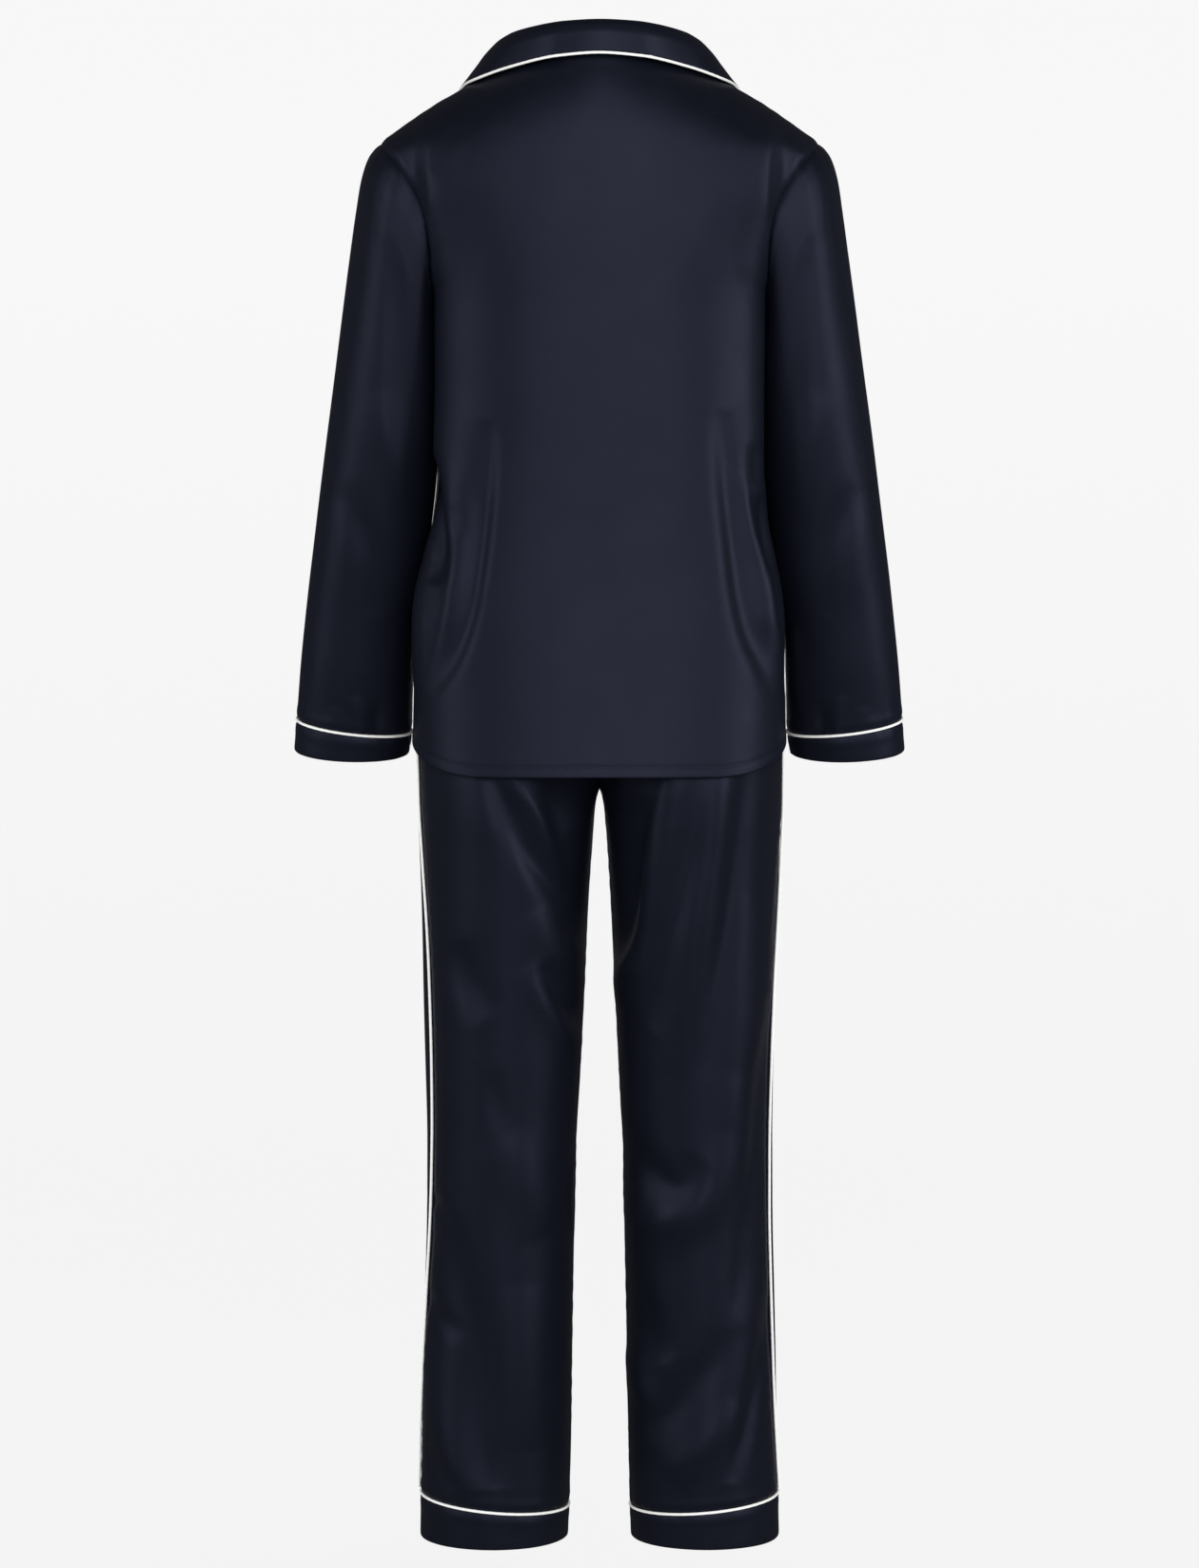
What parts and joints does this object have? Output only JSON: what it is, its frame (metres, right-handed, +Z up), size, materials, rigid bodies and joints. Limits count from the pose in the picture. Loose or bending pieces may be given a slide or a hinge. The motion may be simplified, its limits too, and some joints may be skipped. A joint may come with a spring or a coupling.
{
  "type": "pyjama set",
  "caption": "Long-sleeved satin pyjama shirt with a notched collar over straight trousers, hollow as worn, piped at the collar, cuffs, outer seams and hems.",
  "frame": {"origin": "the mount wearer_shoulders: the centre of the neck opening, level with the neck seam at the back", "axes": "+Z up, the wearer faces -Y, the wearer's left is +X"},
  "size_m": [0.5728, 0.2252, 1.4024],
  "materials": {
    "navy_satin": "satin",
    "white_piping": "satin",
    "button": "gloss"
  },
  "bodies": {
    "root": {"shirt_back": "navy_satin", "shirt_front_left": "navy_satin", "shirt_front_right": "navy_satin", "sleeve_left": "navy_satin", "sleeve_right": "navy_satin", "cuff_left": "navy_satin", "cuff_right": "navy_satin", "collar": "navy_satin", "lapel_left": "navy_satin", "lapel_right": "navy_satin", "trouser_back_left": "navy_satin", "trouser_back_right": "navy_satin", "trouser_front_left": "navy_satin", "trouser_front_right": "navy_satin", "leg_hem_left": "navy_satin", "leg_hem_right": "navy_satin", "waistband": "navy_satin", "collar_piping": "white_piping", "cuff_piping_left": "white_piping", "cuff_piping_right": "white_piping", "leg_hem_piping_left": "white_piping", "leg_hem_piping_right": "white_piping", "side_piping_left": "white_piping", "side_piping_right": "white_piping", "button_1": "button", "button_2": "button", "button_3": "button", "button_4": "button", "button_5": "button"}
  },
  "joints": []
}
